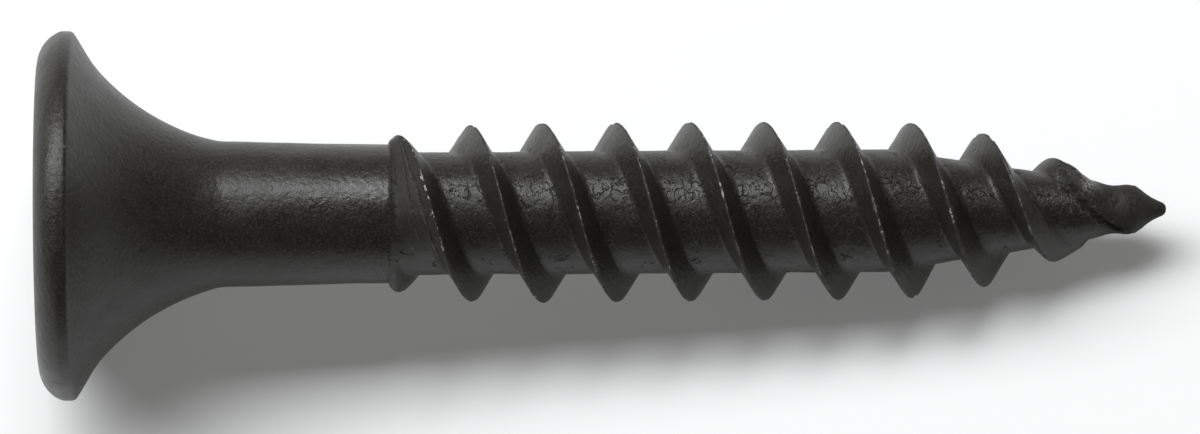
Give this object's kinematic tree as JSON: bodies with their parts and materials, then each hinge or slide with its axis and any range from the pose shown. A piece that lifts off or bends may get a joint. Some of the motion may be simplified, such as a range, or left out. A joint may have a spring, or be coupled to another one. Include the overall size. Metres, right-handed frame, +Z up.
{
  "type": "drywall screw",
  "caption": "Black bugle head screw with a coarse sharp thread and a pinched point, for fixing plasterboard to timber or thin steel.",
  "frame": {"origin": "on the ground under the middle of the screw's box, as it lies at rest on the back edge of its rim and on one crest near the point", "axes": "+X runs level along the screw from head to point, +Y to its side, +Z up; the screw's own axis leans 6.5 degrees down towards the point"},
  "size_m": [0.0252, 0.0082, 0.0082],
  "materials": {
    "black_phosphate_steel": "black phosphate on hardened steel, dull and slightly grained, with bright wear on the crests"
  },
  "bodies": {
    "root": {"drywall_screw": "black_phosphate_steel"}
  },
  "joints": []
}
